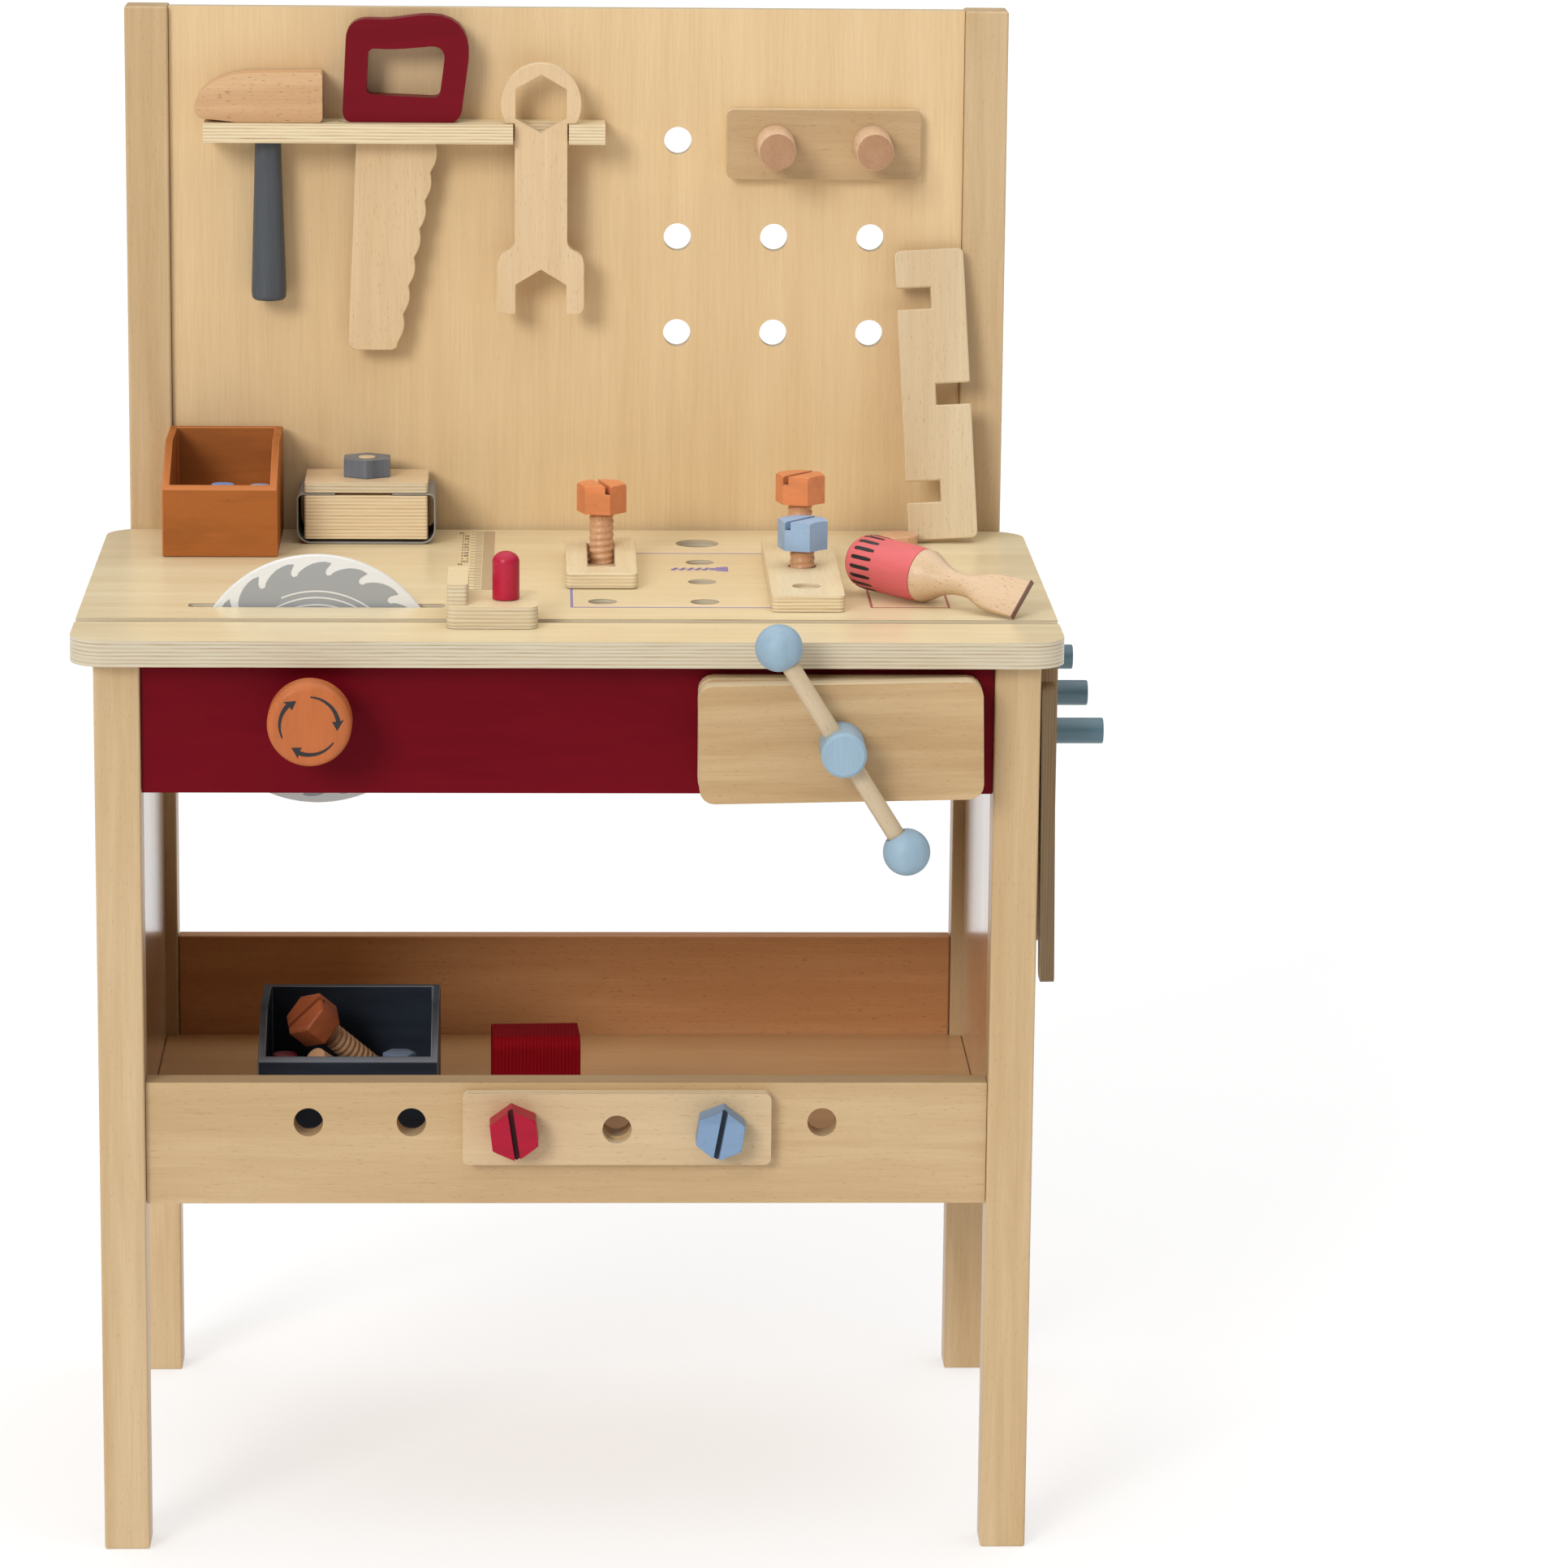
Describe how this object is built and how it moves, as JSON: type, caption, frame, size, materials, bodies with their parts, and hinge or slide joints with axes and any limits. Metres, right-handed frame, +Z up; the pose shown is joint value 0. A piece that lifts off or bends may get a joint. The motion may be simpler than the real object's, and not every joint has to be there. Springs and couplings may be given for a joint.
{
  "type": "toy tool bench",
  "caption": "Child's wooden tool bench with a perforated back panel and tool rack, tabletop saw, screw vise, sliding fence, shelf, and loose tools, planks, pegs and bolts.",
  "frame": {"origin": "bottom centre of the bounding box, on the floor", "axes": "+Z up, +Y to the back panel, +X to the right seen from the front"},
  "size_m": [0.631, 0.4528, 0.92],
  "materials": {
    "ply": "clear lacquered plywood",
    "beech": "clear lacquered beech",
    "pale": "pale sanded plywood",
    "burgundy": "burgundy stained wood, satin lacquer",
    "orange": "orange stained wood, satin lacquer",
    "blue": "light blue painted wood, satin",
    "magenta": "magenta painted wood, satin",
    "white": "white painted plywood with a printed saw blade",
    "slate": "slate grey stained wood",
    "teal": "grey-blue stained beech",
    "terracotta": "terracotta stained wood",
    "coral": "coral painted wood",
    "abrasive_grey": "grey abrasive paper",
    "abrasive_red": "red abrasive paper"
  },
  "bodies": {
    "bench": {"leg_front_left": "ply", "leg_front_right": "ply", "post_rear_left": "ply", "post_rear_right": "ply", "side_panel_left": "ply", "side_panel_right": "ply", "back_panel": "ply", "worktop": "ply", "apron_front": "burgundy", "shelf_front_rail": "ply", "shelf_back_rail": "ply", "shelf_board": "ply", "tool_rack": "ply", "peg_board": "ply", "side_peg_front": "teal", "side_peg_middle": "teal", "side_peg_rear": "teal", "hang_pin": "beech", "vise_fixed_jaw": "ply", "saw_bearing_block": "beech"},
    "saw": {"saw_disc": "white", "saw_axle": "beech", "saw_knob": "orange"},
    "vise_jaw": {"vise_moving_jaw": "ply"},
    "vise_screw_set": {"vise_screw": "beech", "vise_hub": "blue", "vise_handle_rod": "pale", "vise_ball_upper": "blue", "vise_ball_lower": "blue"},
    "fence": {"fence_base": "ply", "fence_knob": "magenta"},
    "terracotta_bin": {"terracotta_box": "terracotta"},
    "slate_bin": {"slate_box": "slate"},
    "sander": {"sanding_block": "beech", "sanding_band": "abrasive_grey", "sanding_stud": "pale"},
    "sander_clamp": {"sanding_clamp": "ply"},
    "sander_nut": {"sanding_nut": "slate"},
    "spare_band": {"spare_sanding_band": "abrasive_red"},
    "hammer": {"hammer_head": "beech", "hammer_handle": "slate"},
    "handsaw": {"handsaw_handle": "burgundy", "handsaw_blade": "pale"},
    "wrench": {"wrench": "pale"},
    "peg_plank": {"peg_plank": "ply"},
    "peg_left": {"plank_peg_left": "beech"},
    "peg_right": {"plank_peg_right": "beech"},
    "notched_plank": {"notched_plank": "ply"},
    "bench_peg": {"bench_peg": "beech"},
    "slotted_plank": {"slotted_plank": "ply"},
    "three_hole_plank": {"three_hole_plank": "ply"},
    "front_plank": {"front_plank": "ply"},
    "bolt_orange_left": {"bolt_orange_left": "orange"},
    "bolt_blue_middle": {"bolt_blue_middle": "blue"},
    "bolt_orange_right": {"bolt_orange_right": "orange"},
    "bolt_magenta": {"bolt_magenta": "magenta"},
    "bolt_blue_front": {"bolt_blue_front": "blue"},
    "screwdriver": {"screwdriver_handle": "coral", "screwdriver_shaft": "pale"},
    "gauge_bar": {"gauge_bar": "ply"}
  },
  "joints": [
    {"name": "saw_spin", "type": "hinge", "parent": "bench", "child": "saw", "pos_m": [-0.1703, -0.2046, 0.532], "axis": [0, -1, 0], "continuous": true},
    {"name": "vise_jaw_slide", "type": "slide", "parent": "bench", "child": "vise_jaw", "axis": [0, -1, 0], "range_m": [0, 0.0401]},
    {"name": "vise_turn", "type": "hinge", "parent": "vise_jaw", "child": "vise_screw_set", "pos_m": [0.1485, -0.21015, 0.519], "axis": [0, -1, 0], "range_deg": [0, 1440]},
    {"name": "fence_slide", "type": "slide", "parent": "bench", "child": "fence", "axis": [1, 0, 0], "range_m": [-0.18, 0.17]},
    {"name": "hammer_lift", "type": "slide", "parent": "bench", "child": "hammer", "axis": [0, 0, 1], "range_m": [0, 0.125]},
    {"name": "handsaw_lift", "type": "slide", "parent": "bench", "child": "handsaw", "axis": [0, 0, 1], "range_m": [0, 0.155]},
    {"name": "wrench_pull", "type": "slide", "parent": "bench", "child": "wrench", "axis": [0, -1, 0], "range_m": [0, 0.06]},
    {"name": "peg_plank_pull", "type": "slide", "parent": "bench", "child": "peg_plank", "axis": [0, -1, 0], "range_m": [0, 0.03]},
    {"name": "plank_peg_left_pull", "type": "slide", "parent": "peg_plank", "child": "peg_left", "axis": [0, -1, 0], "range_m": [0, 0.03]},
    {"name": "plank_peg_right_pull", "type": "slide", "parent": "peg_plank", "child": "peg_right", "axis": [0, -1, 0], "range_m": [0, 0.03]},
    {"name": "terracotta_box_lift", "type": "slide", "parent": "bench", "child": "terracotta_bin", "axis": [0, 0, 1], "range_m": [0, 0.05]},
    {"name": "slate_box_lift", "type": "slide", "parent": "bench", "child": "slate_bin", "axis": [0, 0, 1], "range_m": [0, 0.1]},
    {"name": "sander_lift", "type": "slide", "parent": "bench", "child": "sander", "axis": [0, 0, 1], "range_m": [0, 0.05]},
    {"name": "sander_clamp_lift", "type": "slide", "parent": "sander", "child": "sander_clamp", "axis": [0, 0, 1], "range_m": [0, 0.0121]},
    {"name": "sander_nut_turn", "type": "hinge", "parent": "sander_clamp", "child": "sander_nut", "pos_m": [-0.1455, 0.1754, 0.625], "axis": [0, 0, 1], "range_deg": [0, 1440]},
    {"name": "spare_band_lift", "type": "slide", "parent": "bench", "child": "spare_band", "axis": [0, 0, 1], "range_m": [0, 0.1]},
    {"name": "screwdriver_lift", "type": "slide", "parent": "bench", "child": "screwdriver", "axis": [0, 0, 1], "range_m": [0, 0.06]},
    {"name": "notched_plank_lift", "type": "slide", "parent": "bench", "child": "notched_plank", "axis": [0, 0, 1], "range_m": [0, 0.04]},
    {"name": "bench_peg_lift", "type": "slide", "parent": "bench", "child": "bench_peg", "axis": [0, 0, 1], "range_m": [0, 0.045]},
    {"name": "slotted_plank_slide", "type": "slide", "parent": "bench", "child": "slotted_plank", "axis": [0, 1, 0], "range_m": [-0.008, 0.058]},
    {"name": "three_hole_plank_lift", "type": "slide", "parent": "bench", "child": "three_hole_plank", "axis": [0, 0, 1], "range_m": [0, 0.05]},
    {"name": "bolt_orange_left_lift", "type": "slide", "parent": "bench", "child": "bolt_orange_left", "axis": [0, 0, 1], "range_m": [0, 0.05]},
    {"name": "bolt_blue_middle_lift", "type": "slide", "parent": "three_hole_plank", "child": "bolt_blue_middle", "axis": [0, 0, 1], "range_m": [0, 0.05]},
    {"name": "bolt_orange_right_lift", "type": "slide", "parent": "three_hole_plank", "child": "bolt_orange_right", "axis": [0, 0, 1], "range_m": [0, 0.05]},
    {"name": "front_plank_pull", "type": "slide", "parent": "bench", "child": "front_plank", "axis": [0, -1, 0], "range_m": [0, 0.05]},
    {"name": "bolt_magenta_pull", "type": "slide", "parent": "front_plank", "child": "bolt_magenta", "axis": [0, -1, 0], "range_m": [0, 0.05]},
    {"name": "bolt_blue_front_pull", "type": "slide", "parent": "front_plank", "child": "bolt_blue_front", "axis": [0, -1, 0], "range_m": [0, 0.05]},
    {"name": "gauge_bar_swing", "type": "hinge", "parent": "bench", "child": "gauge_bar", "pos_m": [0.2755, -0.1486, 0.537], "axis": [1, 0, 0], "range_deg": [-60, 5]}
  ],
  "couplings": [
    {"joint": "vise_jaw_slide", "follows": "vise_turn", "m_per_rad": 0.0015915},
    {"joint": "sander_clamp_lift", "follows": "sander_nut_turn", "m_per_rad": 0.00047746}
  ]
}
